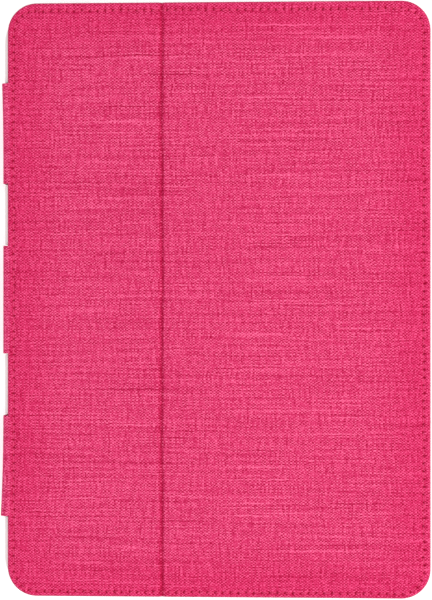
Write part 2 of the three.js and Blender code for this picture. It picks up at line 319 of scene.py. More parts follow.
class Nodes:
    """A material's node tree, with short calls for the nodes that the finishes use."""

    def __init__(self, name):
        self.material = bpy.data.materials.new(name)
        self.material.use_nodes = True
        self.tree = self.material.node_tree
        self.shader = self.tree.nodes["Principled BSDF"]

    def node(self, kind, **settings):
        made = self.tree.nodes.new(kind)
        for key, value in settings.items():
            setattr(made, key, value)
        return made

    def feed(self, socket, value):
        if isinstance(value, bpy.types.NodeSocket):
            self.tree.links.new(value, socket)
        else:
            socket.default_value = value

    def math(self, operation, *values):
        made = self.node("ShaderNodeMath", operation=operation)
        for socket, value in zip(made.inputs, values):
            self.feed(socket, value)
        return made.outputs[0]

    def centred(self, noise):
        """Noise as a difference from its mean."""
        return self.math("SUBTRACT", noise, 0.5)

    def added(self, start, parts):
        """The start, and each part times its weight."""
        for part, weight in parts:
            start = self.math("MULTIPLY_ADD", part, weight, start)
        return start

    def combine(self, x, y, z):
        made = self.node("ShaderNodeCombineXYZ")
        for socket, value in zip(made.inputs, (x, y, z)):
            self.feed(socket, value)
        return made.outputs[0]

    def cloth_uv(self):
        """The two coordinates along the cloth, in metres."""
        made = self.node("ShaderNodeUVMap", uv_map="cloth")
        split = self.node("ShaderNodeSeparateXYZ")
        self.tree.links.new(made.outputs[0], split.inputs[0])
        return split.outputs[0], split.outputs[1]

    def object_xyz(self):
        return self.node("ShaderNodeTexCoord").outputs["Object"]

    def noise(self, vector, scale, detail=2.0, roughness=0.5):
        made = self.node("ShaderNodeTexNoise")
        self.feed(made.inputs["Vector"], vector)
        made.inputs["Scale"].default_value = scale
        made.inputs["Detail"].default_value = detail
        made.inputs["Roughness"].default_value = roughness
        return made.outputs["Fac"]

    def yarn_noise(self, number, place, depth):
        vector = self.combine(self.math("MULTIPLY", number, YARN_STEP), place, depth)
        return self.noise(vector, 1.0, detail=4.0, roughness=0.65)

    def yarn_tone(self, number, along, scale, depth):
        """How much lighter a yarn is than the next one, by its number and the place along it."""
        place = self.math("MULTIPLY", along, scale)
        own = self.yarn_noise(number, place, depth)
        beside = self.yarn_noise(self.math("ADD", number, 1.0), place, depth)
        beside = self.math("MULTIPLY_ADD", beside, NEIGHBOUR, 0.5 * (1 - NEIGHBOUR))
        return self.math("SUBTRACT", own, beside)

    def slub(self, number, along, scale, depth):
        """Near zero on most of a yarn, and well above or below it on a light or dark stretch."""
        place = self.math("MULTIPLY", along, scale)
        vector = self.combine(self.math("MULTIPLY", number, SLUB_STEP), place, depth)
        value = self.centred(self.noise(vector, 1.0, detail=1.0))
        return self.math("POWER", self.math("MULTIPLY", value, SLUB_GAIN), SLUB_POWER)

    def ramp(self, factor, stops):
        made = self.node("ShaderNodeValToRGB")
        self.feed(made.inputs[0], factor)
        elements = made.color_ramp.elements
        while len(elements) < len(stops):
            elements.new(0.5)
        for element, (place, colour) in zip(elements, stops):
            element.position = place
            element.color = (*colour, 1)
        return made.outputs[0]

    def remap(self, value, from_low, from_high, to_low, to_high, interpolation="LINEAR"):
        made = self.node("ShaderNodeMapRange", interpolation_type=interpolation)
        for socket, number in zip(made.inputs, (value, from_low, from_high, to_low, to_high)):
            self.feed(socket, number)
        return made.outputs[0]

    def spread(self, noise, low, high):
        """Values that go from low to high as the noise does."""
        return self.remap(noise, NOISE_LOW, NOISE_HIGH, low, high)

    def clear_of(self, place, width):
        """One in the middle of a strip of cloth, and zero in the margin at each side of it."""
        away = self.math("ABSOLUTE", place)
        half = width / 2
        return self.remap(away, half - MARGIN_TO, half - MARGIN_FROM, 1.0, 0.0, "SMOOTHSTEP")

    def mix(self, factor, first, second, blend_type="MIX"):
        made = self.node("ShaderNodeMix", data_type="RGBA", blend_type=blend_type)
        self.feed(made.inputs[0], factor)
        self.feed(made.inputs["A"], first)
        self.feed(made.inputs["B"], second)
        return made.outputs["Result"]

    def attribute(self, name):
        return self.node("ShaderNodeAttribute", attribute_name=name).outputs["Fac"]

    def bump(self, height, distance, strength):
        made = self.node("ShaderNodeBump")
        made.inputs["Distance"].default_value = distance
        made.inputs["Strength"].default_value = strength
        self.feed(made.inputs["Height"], height)
        self.tree.links.new(made.outputs[0], self.shader.inputs["Normal"])

    def set(self, **values):
        """Sets the shader's sockets. An underscore in a name stands for a space."""
        for key, value in values.items():
            self.feed(self.shader.inputs[key.replace("_", " ")], value)


def woven_cloth(name, dark, middle, bright, margin_shade_tint, sheen):
    """Plain weave with a linen look: uneven yarns, slubs, and faint blotches.

    The last number in each place in the noise only keeps the patterns apart.
    """
    n = Nodes(name)
    u, v = n.cloth_uv()
    wander_x = n.noise(n.combine(u, v, 0.0), WANDER_SCALE, detail=1.0)
    wander_y = n.noise(n.combine(v, u, 3.0), WANDER_SCALE, detail=1.0)
    across = n.math("MULTIPLY_ADD", u, 1 / WARP_PITCH, n.math("MULTIPLY", wander_x, WANDER))
    along = n.math("MULTIPLY_ADD", v, 1 / WEFT_PITCH, n.math("MULTIPLY", wander_y, WANDER))
    warp = n.math("FLOOR", across)
    weft = n.math("FLOOR", along)

    # Above zero where the weft is on top, below zero where the warp is, and zero between yarns
    wave_x = n.math("SINE", n.math("MULTIPLY", across, math.pi))
    wave_y = n.math("SINE", n.math("MULTIPLY", along, math.pi))
    weave = n.math("MULTIPLY", wave_x, wave_y)
    weft_on_top = n.math("GREATER_THAN", weave, 0.0)

    # Each yarn has its own tone, which changes along it and stands out against the next yarn's
    warp_tone = n.yarn_tone(warp, v, WARP_TONE_SCALE, 0.0)
    weft_tone = n.yarn_tone(weft, u, WEFT_TONE_SCALE, 9.0)
    warp_slub = n.slub(warp, v, WARP_SLUB_SCALE, 21.0)
    weft_slub = n.slub(weft, u, WEFT_SLUB_SCALE, 33.0)
    crossing_x = n.math("MULTIPLY", warp, YARN_STEP)
    crossing_y = n.math("MULTIPLY", weft, CROSSING_STEP)
    crossing = n.noise(n.combine(crossing_x, crossing_y, 50.0), 1.0, detail=0.0)
    fibre = n.noise(n.combine(u, v, 5.0), FIBRE_SCALE)
    blotch = n.noise(n.combine(u, v, 7.0), BLOTCH_SCALE, detail=3.0, roughness=0.6)

    # The weave shows clearly in some places and hardly in others
    clearness = n.noise(n.combine(u, v, 13.0), CLEARNESS_SCALE, detail=1.0)
    clearness = n.remap(clearness, 0.35, 0.65, CLEARNESS_LEAST, CLEARNESS_MOST)
    tone = n.added(0.5, [
        (n.math("MULTIPLY", weave, clearness), WEAVE_CONTRAST),
        (weft_tone, WEFT_CONTRAST),
        (warp_tone, WARP_CONTRAST),
        (n.centred(crossing), CROSSING_CONTRAST),
        (n.centred(fibre), FIBRE_CONTRAST),
        (n.centred(blotch), BLOTCH_CONTRAST),
        (weft_slub, WEFT_SLUB),
        (warp_slub, WARP_SLUB),
        # painted shade deep in needle holes and along the crease
        (n.attribute("pit_shade"), -PIT_SHADE_CONTRAST),
    ])
    colour = n.ramp(tone, [(0.0, dark), (0.5, middle), (1.0, bright)])

    # Painted shade: the margin round a cover is tinted deeper than its middle
    from_middle = n.math("SUBTRACT", u, (COVER_LEFT + COVER_RIGHT) / 2)
    clear_x = n.clear_of(from_middle, COVER_RIGHT - COVER_LEFT)
    clear_y = n.clear_of(v, 2 * COVER_HALF)
    margin = n.math("SUBTRACT", 1.0, n.math("MULTIPLY", clear_x, clear_y))
    colour = n.mix(margin, colour, (*margin_shade_tint, 1.0), "MULTIPLY")
    # Painted shade on a cover's turned rim, from the rim mark
    rim_shade = n.math("MULTIPLY", n.attribute("rim"), RIM_PAINTED_SHADE)
    colour = n.mix(rim_shade, colour, (*PINK_RIM_SHADE, 1.0))

    n.set(Base_Color=colour, Roughness=n.spread(fibre, 0.74, 0.92), Specular_IOR_Level=0.1)
    n.set(Sheen_Weight=sheen, Sheen_Roughness=0.45, Sheen_Tint=(*bright, 1.0))
    raised = [(weft_on_top, 0.15), (fibre, 0.25), (weft_slub, 0.2)]
    n.bump(n.added(n.math("ABSOLUTE", weave), raised), distance=0.09 * MM, strength=0.8)
    return n.material


def thread(name, colour):
    """Twisted sewing thread."""
    n = Nodes(name)
    u, v = n.cloth_uv()
    slant = n.math("MULTIPLY", v, TWIST_SLANT)
    twist = n.math("SINE", n.math("MULTIPLY_ADD", u, 2 * math.pi / TWIST_PITCH, slant))
    light = n.remap(twist, -1.0, 1.0, TWIST_SHADE, 1.0)
    n.set(Base_Color=n.mix(1.0, (*colour, 1.0), n.combine(light, light, light), "MULTIPLY"))
    n.set(Roughness=0.7, Specular_IOR_Level=0.2)
    n.bump(twist, distance=0.03 * MM, strength=0.6)
    return n.material


def microsuede(name, dark, bright):
    """Short nap that has been brushed this way and that."""
    n = Nodes(name)
    u, v = n.cloth_uv()
    place = n.combine(u, v, 0.0)
    nap = n.noise(place, 3200.0, detail=3.0, roughness=0.6)
    brushed = n.noise(place, 38.0, detail=5.0, roughness=0.62)
    tone = n.math("MULTIPLY_ADD", brushed, 0.30, n.math("MULTIPLY", nap, 0.75))
    n.set(Base_Color=n.ramp(tone, [(0.30, dark), (0.75, bright)]))
    n.set(Roughness=n.spread(nap, 0.85, 1.0), Specular_IOR_Level=0.2)
    n.set(Sheen_Weight=0.35, Sheen_Roughness=0.4)
    n.bump(nap, distance=0.05 * MM, strength=0.7)
    return n.material


def moulded_plastic(name, colour, roughness):
    """Moulded plastic with a fine spark-eroded grain and faint handling marks."""
    n = Nodes(name)
    place = n.object_xyz()
    grain = n.noise(place, 2400.0)
    marks = n.noise(place, 45.0, detail=4.0, roughness=0.65)
    shade = tuple(channel * PLASTIC_SHADE for channel in colour)
    n.set(Base_Color=n.ramp(marks, [(0.35, shade), (0.65, colour)]), IOR=1.49)
    n.set(Roughness=n.spread(marks, roughness - 0.06, roughness + 0.08))
    n.bump(grain, distance=0.012 * MM, strength=0.6)
    return n.material


def pressed_board(name):
    """Grey board pressed from waste fibre."""
    n = Nodes(name)
    fibre = n.noise(n.object_xyz(), 900.0, detail=4.0, roughness=0.7)
    colour = n.ramp(fibre, [(NOISE_LOW, BOARD_DARK), (NOISE_HIGH, BOARD_BRIGHT)])
    n.set(Base_Color=colour, Roughness=0.95)
    n.bump(fibre, distance=0.05 * MM, strength=0.6)
    return n.material


def metal(name, colour, roughness, stretch):
    """Bare metal with fine lines left by rolling, which a small stretch draws out along Y."""
    n = Nodes(name)
    scaled = n.node("ShaderNodeMapping")
    n.feed(scaled.inputs["Vector"], n.object_xyz())
    scaled.inputs["Scale"].default_value = (1.0, stretch, 1.0)
    lines = n.noise(scaled.outputs[0], 1500.0, detail=3.0, roughness=0.6)
    shade = tuple(channel * METAL_SHADE for channel in colour)
    n.set(Base_Color=n.ramp(lines, [(NOISE_LOW, shade), (NOISE_HIGH, colour)]), Metallic=1.0)
    n.set(Roughness=n.spread(lines, roughness, roughness + 0.15))
    n.bump(lines, distance=0.01 * MM, strength=0.5)
    return n.material


cover_cloth = woven_cloth("cover_cloth", PINK_DARK, PINK, PINK_BRIGHT, MARGIN_SHADE_TINT, COVER_SHEEN)
# The tabs' cloth is a paler copy of the cover's, with painted sheen
tab_cloth_painted_sheen = woven_cloth("tab_cloth_painted_sheen", PINK_DARK, TAB_PINK_PAINTED_SHEEN, PINK_BRIGHT, NO_TINT, TAB_SHEEN)
cover_thread = thread("cover_thread", PINK_THREAD)
bobbin_thread = thread("bobbin_thread", GREY_THREAD)
lining_cloth = microsuede("lining_cloth", LINING_DARK, LINING_BRIGHT)
tray_plastic = moulded_plastic("tray_plastic", TRAY_WHITE, roughness=0.42)
trim_plastic = moulded_plastic("trim_plastic", TRIM_BLACK, roughness=0.45)
board = pressed_board("board")
nickel = metal("nickel", NICKEL, roughness=0.22, stretch=1.0)
rolled_steel = metal("rolled_steel", STEEL, roughness=0.35, stretch=0.05)


# ---------------------------------------------------------------------------
# Meshes
# ---------------------------------------------------------------------------


def mesh_object(name, points, faces, uv, marks, material):
    """A smooth mesh with its cloth coordinates and marks.

    marks has a row for each point: the painted shade for how deep it lies in a needle hole or fold,
    and the painted shade for how far it is on the rim.
    """
    mesh = bpy.data.meshes.new(name)
    mesh.from_pydata(points.tolist(), [], faces)
    mesh.update()
    corners = np.zeros(len(mesh.loops), np.int32)
    mesh.loops.foreach_get("vertex_index", corners)
    layer = mesh.uv_layers.new(name="cloth")
    layer.data.foreach_set("uv", uv[corners].astype(np.float32).ravel())
    for mark, values in zip(("pit_shade", "rim"), marks.T.astype(np.float32)):
        attribute = mesh.attributes.new(mark, "FLOAT", "POINT")
        attribute.data.foreach_set("value", np.ascontiguousarray(values))
    mesh.polygons.foreach_set("use_smooth", np.ones(len(mesh.polygons), bool))
    mesh.materials.append(material)
    piece = bpy.data.objects.new(name, mesh)
    bpy.context.scene.collection.objects.link(piece)
    return piece


class Outline:
    """The outline of a cover or pad with round corners, followed at an even pace.

    Distances run along the line at SEAM_INSET inside the edge, which is a cover's stitching line.
    """

    def __init__(self, left, right, half, corner):
        self.corner = corner
        self.left, self.right, self.half = left, right, half
        self.middle = (left + right) / 2
        self.half_width = (right - left) / 2 - corner
        self.half_length = half - corner
        width, length = 2 * self.half_width, 2 * self.half_length
        arc = (corner - SEAM_INSET) * math.pi / 2
        self.runs = [width, arc, length, arc, width, arc, length, arc]
        self.total = sum(self.runs)
        self.stitches = round(self.total / STITCH_LENGTH)
        self.stitch = self.total / self.stitches

    def at(self, distance):
        """The corner centres' outline and the outward direction, at distances along the line."""
        distance = np.mod(distance, self.total)
        core = np.zeros((len(distance), 2))
        outward = np.zeros((len(distance), 2))
        w, h = self.half_width, self.half_length
        starts = np.concatenate([[0], np.cumsum(self.runs)])
        stops = [(-w, -h), (w, -h), (w, h), (-w, h)]
        for index, run in enumerate(self.runs):
            inside = (distance >= starts[index]) & (distance < starts[index + 1])
            t = ((distance[inside] - starts[index]) / run)[:, None]
            side = index // 2
            a, b = np.array(stops[side]), np.array(stops[(side + 1) % 4])
            if index % 2 == 0:
                core[inside] = a + (b - a) * t
                angle = np.full(len(t), (side - 1) * math.pi / 2)
            else:
                core[inside] = b
                angle = (side - 1 + t[:, 0]) * math.pi / 2
            outward[inside] = np.stack([np.cos(angle), np.sin(angle)], 1)
        core[:, 0] += self.middle
        return core, outward

    def ring(self, inset):
        """Points round the outline, drawn in from its edge."""
        core, outward = self.at(self.steps())
        return core + outward * (self.corner - inset)

    def edge_distance(self, points):
        """How far points inside the outline are from its edge."""
        from_middle = np.abs(points - np.array([self.middle, 0]))
        beyond = from_middle - np.array([self.half_width, self.half_length])
        return self.corner - np.hypot(*np.maximum(beyond, 0).T)

    def steps(self):
        """Distances along the line, closer together at the needle holes."""
        t = np.arange(self.stitches * STEPS_PER_STITCH) / STEPS_PER_STITCH
        crowding = STEP_CROWDING * np.sin(2 * math.pi * t) / (2 * math.pi)
        return (t - crowding) * self.stitch


seam = Outline(COVER_LEFT, COVER_RIGHT, COVER_HALF, CORNER)
rng = np.random.default_rng(SEED)
hole_leans = np.where(rng.random(seam.stitches) < 0.5, -1, 1)
hole_slants = hole_leans * HOLE_SLANT * (HOLE_SLANT_LEAST + rng.random(seam.stitches))
hole_depths = HOLE_DEPTH * (HOLE_DEPTH_LEAST + HOLE_DEPTH_SPREAD * rng.random(seam.stitches))
hole_shifts = HOLE_SHIFT * rng.standard_normal(seam.stitches)


def seam_inset(outward):
    """How far in the stitching runs: it's sewn off centre, so this differs from side to side."""
    return SEAM_INSET + outward @ SEAM_SHIFT


def hole_shape(distance, across_seam):
    """How deep the needle holes press in the cloth, and how far into a hole each point is."""
    index = np.round(distance / seam.stitch).astype(int) % seam.stitches
    along = distance - np.round(distance / seam.stitch) * seam.stitch
    across = across_seam - hole_shifts[index]
    slant = hole_slants[index]
    a = along * np.cos(slant) + across * np.sin(slant)
    b = across * np.cos(slant) - along * np.sin(slant)
    hole = bell(a, HOLE_ALONG) * bell(b, HOLE_ACROSS)
    return hole * hole_depths[index], hole


def edge_relief(distance, inset, across_seam):
    """Depth below the panel's flat near its edge, and how far into a hole each point is.

    The depth is that of the sewn rim, its trough, puckers and needle holes.
    """
    dip = EDGE_DIP * (1 - smoothstep(EDGE_DIP_FROM, EDGE_DIP_TO, inset))
    trough = TROUGH_DEPTH * bell(across_seam, TROUGH_WIDTH)
    swell = np.cos(2 * math.pi * distance / seam.stitch)
    puckers = PUCKER * swell * bell(np.abs(across_seam) - PUCKER_FROM_SEAM, PUCKER_WIDTH)
    holes, inside = hole_shape(distance, across_seam)
    return dip + trough + puckers + holes, inside


def crease_line(y):
    """How far the crease wanders from its hinge line at each y."""
    return CREASE_WANDER * sum(
        share * np.sin(y / length + phase) for share, length, phase in CREASE_WAVES
    )


def crease_relief(x, y):
    """Depth of the crease: a pressed line with a softer shoulder on the wide panel."""
    away = x - CREASE_X - crease_line(y)
    valley = CREASE_DEPTH * bell(away, CREASE_WIDTH)
    shoulder = CREASE_SHOULDER * bell(away - CREASE_SHOULDER_AT, CREASE_SHOULDER_WIDTH)
    return valley + shoulder


# Painted shade along the bottom of the crease
def crease_shade(x, y):
    return CREASE_SHADE * bell(x - CREASE_X - crease_line(y), CREASE_SHADE_WIDTH)


def fill_points(outline, ring_inset, has_crease, window):
    """Points inside the innermost ring, which is drawn in by ring_inset.

    They are a wide grid, with fine columns along the crease or fine rings round a window.
    """
    limit = FILL_INSET + FILL_MARGIN
    xs = np.arange(outline.left + limit, outline.right - limit, GRID_X)
    if has_crease:
        near = CREASE_X + np.concatenate([-CREASE_STEPS[::-1], [0], CREASE_STEPS])
        clear = np.abs(xs - CREASE_X) > CREASE_STEPS[-1] + GRID_CLEARANCE
        xs = np.sort(np.concatenate([xs[clear], near]))
    ys = np.arange(-outline.half + limit, outline.half - limit, GRID_Y)
    grid = np.array([(x, y) for x in xs for y in ys])
    grid = grid[outline.edge_distance(grid) > FILL_INSET + RING_GAP]
    if window is None:
        return grid
    (cx, cy), radius = window
    away = np.hypot(grid[:, 0] - cx, grid[:, 1] - cy)
    grid = grid[away > radius + WINDOW_RINGS[-1] + FILL_MARGIN]
    angles = np.arange(WINDOW_SIDES) * 2 * math.pi / WINDOW_SIDES
    circles = np.array([
        (cx + r * math.cos(angle), cy + r * math.sin(angle))
        for r in radius + WINDOW_RINGS for angle in angles
    ])
    return np.concatenate([grid, circles[outline.edge_distance(circles) > ring_inset + RING_GAP]])


def filled(ring_points, inner_points, window):
    """Triangles that fill a ring, turning anticlockwise, with no triangle inside the window."""
    points = [Vector(p) for p in ring_points.tolist() + inner_points.tolist()]
    result = delaunay_2d_cdt(points, [], [], 0, SAME_POINT)
    flat = np.array([(p.x, p.y) for p in result[0]])
    triangles = np.array(result[2])
    a, b, c = (flat[triangles[:, corner]] for corner in range(3))
    area = (b[:, 0] - a[:, 0]) * (c[:, 1] - a[:, 1]) - (b[:, 1] - a[:, 1]) * (c[:, 0] - a[:, 0])
    triangles[area < 0] = triangles[area < 0][:, ::-1]
    keep = np.abs(area) > LEAST_AREA
    if window is not None:
        (cx, cy), radius = window
        middle = (a + b + c) / 3
        away = np.hypot(middle[:, 0] - cx, middle[:, 1] - cy)
        keep &= away > radius * math.cos(math.pi / WINDOW_SIDES)
    source = [ids[0] for ids in result[3]]
    return np.array(source)[triangles[keep]]


def edge_rings():
    """Insets of the rings that turn over the edge and in under it, with depths and coordinates.

    The last number of each is its inset if the cloth were laid flat.
    """
    radius = EDGE_THICKNESS / 2
    rings = []
    for turn in EDGE_TURNS:
        inset = radius * (1 - math.sin(turn))
        depth = EDGE_DIP + radius * (1 - math.cos(turn))
        rings.append((inset, depth, radius * (1 - turn)))
    wrapped = radius * (1 - math.pi)
    under = [
        (HEM_INSET, EDGE_DIP + EDGE_THICKNESS - HEM_LIP),
        (HEM_INSET, HEM_DEPTH),
        (BOARD_INSET, HEM_DEPTH),
        (BOARD_INSET, FABRIC),
        (FILL_INSET, FABRIC),
    ]
    return rings + [(inset, depth, wrapped - inset) for inset, depth in under]


def closed_skin(name, rings, faces_inside, window, facing, material):
    """A closed piece of cloth, from rings of points that follow the edge, and two faces inside.

    Each ring and each face is a tuple of points, cloth coordinates and marks. The first face
    fills the first ring, and the second one fills the last ring.
    """
    count = len(rings[0][0])
    inner = faces_inside[0][0][:, :2]
    first_inner = count * len(rings)
    last_ring = first_inner - count
    triangles = filled(rings[0][0][:, :2], inner, window)
    in_ring = triangles < count
    inside = triangles - count + first_inner
    upper = np.where(in_ring, triangles, inside)
    lower = np.where(in_ring, triangles + last_ring, inside + len(inner))
    here = np.arange(count)
    after = (here + 1) % count
    faces = upper.tolist() + lower[:, ::-1].tolist()
    for ring in range(len(rings) - 1):
        a, b = ring * count, (ring + 1) * count
        faces += np.column_stack([a + here, b + here, b + after, a + after]).tolist()
    if window is not None:
        faces += window_wall(inner, first_inner, window)
    if facing < 0:
        faces = [face[::-1] for face in faces]
    points, uvs, marks = (np.concatenate(parts) for parts in zip(*rings, *faces_inside))
    return mesh_object(name, points, faces, uvs, marks, material)


def window_wall(inner, first_inner, window):
    """The cloth's cut edge round a window, from its outer face to its inner face."""
    (cx, cy), radius = window
    away = np.hypot(inner[:, 0] - cx, inner[:, 1] - cy)
    rim = np.flatnonzero(np.abs(away - radius) < ON_CIRCLE)
    order = np.argsort(np.arctan2(inner[rim, 1] - cy, inner[rim, 0] - cx))
    upper = first_inner + rim[order]
    lower = upper + len(inner)
    return np.column_stack([upper, np.roll(upper, -1), np.roll(lower, -1), lower]).tolist()


def cover_skin(name, outer, facing, has_crease, window):
    """A cover's cloth: laid over the board, turned round its edge and hemmed under the lining.

    outer is the height of its outer face, and facing is 1 where that face looks up and -1 where
    it looks down.
    """
    steps = seam.steps()
    core, outward = seam.at(steps)
    along_seam = seam_inset(outward)
    none = np.zeros(len(steps))
    rings = []

    def add_ring(inset, depth, laid, pit_shade, rim):
        flat = core + outward * (CORNER - inset)[:, None]
        if has_crease:
            fade = 1 - smoothstep(CREASE_FADES_FROM, EDGE_THICKNESS, depth)
            depth = depth + crease_relief(flat[:, 0], flat[:, 1]) * fade
            # Painted shade along the crease too
            pit_shade = np.maximum(pit_shade, crease_shade(flat[:, 0], flat[:, 1]) * fade)
        points = np.column_stack([flat, outer - facing * depth])
        uv = core + outward * (CORNER - laid)[:, None]
        rings.append((points, uv, np.column_stack([pit_shade, rim])))

    seam_rings = [along_seam + offset for offset in SEAM_RINGS]
    # The rings along the seam take painted shade deep in the needle holes
    for inset in [np.full(len(steps), FILL_INSET)] + seam_rings:
        depth, pit_shade = edge_relief(steps, inset, inset - along_seam)
        add_ring(inset, depth, inset, pit_shade, none)
    for ring in edge_rings():
        inset, depth, laid = (np.full(len(steps), value) for value in ring)
        # The rim mark is painted shade: it starts near the top of the turned edge and fades out
        # down the side
        past_rim_shade = smoothstep(RIM_FADES_FROM, RIM_FADES_TO, depth)
        add_ring(inset, depth, laid, none, smoothstep(RIM_FROM, RIM_TO, depth) * (1 - past_rim_shade))

    inner = fill_points(seam, FILL_INSET, has_crease, window)
    sunk = crease_relief(inner[:, 0], inner[:, 1]) * has_crease
    # Painted shade along the crease, inside the rings
    pit_shade = crease_shade(inner[:, 0], inner[:, 1]) * has_crease
    marks = np.column_stack([pit_shade, np.zeros(len(inner))])
    faces_inside = [
        (np.column_stack([inner, outer - facing * (sunk + depth)]), inner, marks)
        for depth in (0.0, FABRIC)
    ]
    return closed_skin(name, rings, faces_inside, window, facing, cover_cloth)


def lining_skin(name, outline, layer, inset, has_crease, window):
    """A lining or pad in one piece with soft edges, and a shallow fold under the crease.

    layer gives the heights of its lower and upper face.
    """
    low, high = layer

    def face_at(flat, height):
        fold = LINING_FOLD * bell(flat[:, 0] - CREASE_X, LINING_FOLD_WIDTH)
        fold = fold * (has_crease and height < (low + high) / 2)
        return np.column_stack([flat, height + fold]), flat, np.zeros((len(flat), 2))

    levels = [
        (inset + LINING_EDGE, high),
        (inset, high - LINING_EDGE),
        (inset, low + LINING_EDGE),
        (inset + LINING_EDGE, low),
    ]
    rings = [face_at(outline.ring(ring_inset), height) for ring_inset, height in levels]
    inner = fill_points(outline, inset + LINING_EDGE, has_crease, window)
    faces_inside = [face_at(inner, high), face_at(inner, low)]
    return closed_skin(name, rings, faces_inside, window, 1, lining_cloth)


def stitching(name, outer, facing, has_crease, bed, material):
    """The thread of the lockstitch, one short span from each needle hole to the next.

    bed is how far the surface that it lies on is below outer.
    """
    along = np.linspace(0, 1, THREAD_STEPS)
    around = np.arange(THREAD_SIDES) * 2 * math.pi / THREAD_SIDES
    rise = np.sin(math.pi * along) ** THREAD_ARCH
    radius = THREAD_RADIUS * (1 - THREAD_PINCH + THREAD_PINCH * rise)
    lean = THREAD_LEAN * (2 * along - 1)
    points, uvs, faces = [], [], []
    for index in range(seam.stitches):
        distance = (index + THREAD_FROM + THREAD_SPAN * along) * seam.stitch
        core, outward = seam.at(distance)
        flat = core + outward * (CORNER - seam_inset(outward) - lean)[:, None]
        down = bed + THREAD_SINK * (1 - rise) - THREAD_PROUD * THREAD_RADIUS
        if has_crease:
            down = down + crease_relief(flat[:, 0], flat[:, 1])
        first = len(points) * THREAD_SIDES
        for step in range(THREAD_STEPS):
            side = radius[step] * np.cos(around)
            up = radius[step] * np.sin(around)
            ring = flat[step] + outward[step] * side[:, None]
            points.append(np.column_stack([ring, outer - facing * (down[step] - up)]))
            uvs.append(np.column_stack([np.full(THREAD_SIDES, distance[step]), around]))
        faces += tube_faces(first, THREAD_STEPS, THREAD_SIDES, facing)
    marks = np.zeros((len(points) * THREAD_SIDES, 2))
    return mesh_object(
        name, np.concatenate(points), faces, np.concatenate(uvs), marks, material
    )


def tube_faces(first, steps, sides, facing):
    """Faces of a capped tube whose rings of points follow each other from the index first."""
    last = first + (steps - 1) * sides
    faces = [list(range(first, first + sides))]
    for step in range(steps - 1):
        faces += loop_faces(first + step * sides, sides)
    faces.append(list(range(last + sides - 1, last - 1, -1)))
    return faces if facing > 0 else [face[::-1] for face in faces]


def loop_faces(first, sides):
    """Faces between a closed loop of points, which starts at the index first, and the next loop."""
    a, b = first, first + sides
    return [[a + i, b + i, b + (i + 1) % sides, a + (i + 1) % sides] for i in range(sides)]


def rounded(path, times):
    """A smoother path through a rough one, by cutting its corners; its ends stay."""
    for _ in range(times):
        a, b = path[:-1], path[1:]
        cut = np.stack([0.75 * a + 0.25 * b, 0.25 * a + 0.75 * b], 1).reshape(-1, path.shape[1])
        path = np.concatenate([path[:1], cut[1:-1], path[-1:]])
    return path


def strip(name, path, thickness, ends, swell, start_u, material):
    """A strip of cloth with rounded edges, which follows a path across the spine.

    path is a list of (x, z) along its outer face. The cloth lies to the left of the path as it
    runs. ends gives the strip's lowest and highest y, and swell how far it stands out at each y.
    start_u is the cloth coordinate where the path starts, and the one where it ends is returned
    with the strip.
    """
    low, high = ends
    line = rounded(np.array(path) * MM, PATH_CUTS)
    count = len(line)
    loop = 2 * count
    run = np.gradient(line, axis=0)
    run /= np.linalg.norm(run, axis=1)[:, None]
    inward = np.column_stack([-run[:, 1], run[:, 0]])
    lengths = np.linalg.norm(np.diff(line, axis=0), axis=1)
    length = np.concatenate([[0], np.cumsum(lengths)])
    share = np.sin(math.pi * np.clip(length / length[-1], 0, 1)) ** SWELL_SHAPE

    # Rows of points are closer together at the two edges, where the strip gets thinner
    rim = 0.5 * thickness
    turn = np.linspace(0, math.pi / 2, STRIP_EDGE_STEPS)[:-1]
    near = rim * (1 - np.cos(turn))
    steps = max(STRIP_LEAST_STEPS, int((high - low) / STRIP_STEP))
    middle = np.linspace(low + rim, high - rim, steps)
    ys = np.concatenate([low + near, middle, (high - near)[::-1]])
    full = np.concatenate([np.sin(turn), np.ones(steps), np.sin(turn)[::-1]])

    points, uvs, faces = [], [], []
    for y, fullness in zip(ys, full):
        out = line - inward * (swell(y) * share)[:, None]
        centre = out + inward * thickness / 2
        half = inward * thickness / 2 * max(fullness, STRIP_LEAST_FULLNESS)
        section = np.concatenate([centre - half, (centre + half)[::-1]])
        points.append(np.column_stack([section[:, 0], np.full(loop, y), section[:, 1]]))
        u = start_u - length
        uvs.append(np.column_stack([np.concatenate([u, u[::-1]]), np.full(loop, y)]))
    for row in range(len(ys) - 1):
        faces += loop_faces(row * loop, loop)
    last = (len(ys) - 1) * loop
    for i in range(count - 1):
        faces.append([i, i + 1, loop - 2 - i, loop - 1 - i])
        faces.append([last + i + 1, last + i, last + loop - 1 - i, last + loop - 2 - i])
    marks = np.zeros((loop * len(ys), 2))
    piece = mesh_object(
        name, np.concatenate(points), faces, np.concatenate(uvs), marks, material
    )
    piece.data.set_sharp_from_angle(angle=CRISP)
    return piece, start_u - length[-1]


# ---------------------------------------------------------------------------
# The front cover, with its crease
# ---------------------------------------------------------------------------

front_fabric = cover_skin("front_fabric", COVER_TOP, facing=1, has_crease=True, window=None)
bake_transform(front_fabric)
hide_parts("narrow_panel_fabric", "wide_panel_fabric")

front_stitching = stitching(
    "front_stitching", COVER_TOP, facing=1, has_crease=True, bed=THREAD_BED, material=cover_thread
)
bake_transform(front_stitching)

front_layer = (front_lining_low.z, front_lining_high.z)
front_lining = lining_skin(
    "front_lining", seam, front_layer, LINING_INSET, has_crease=True, window=None
)
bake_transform(front_lining)
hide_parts("narrow_panel_lining", "wide_panel_lining")

bobbin_stitching = stitching(
    "bobbin_stitching", front_lining_low.z, facing=-1, has_crease=False, bed=0.0,
    material=bobbin_thread,
)
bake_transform(bobbin_stitching)

# ---------------------------------------------------------------------------
# The back cover
# ---------------------------------------------------------------------------

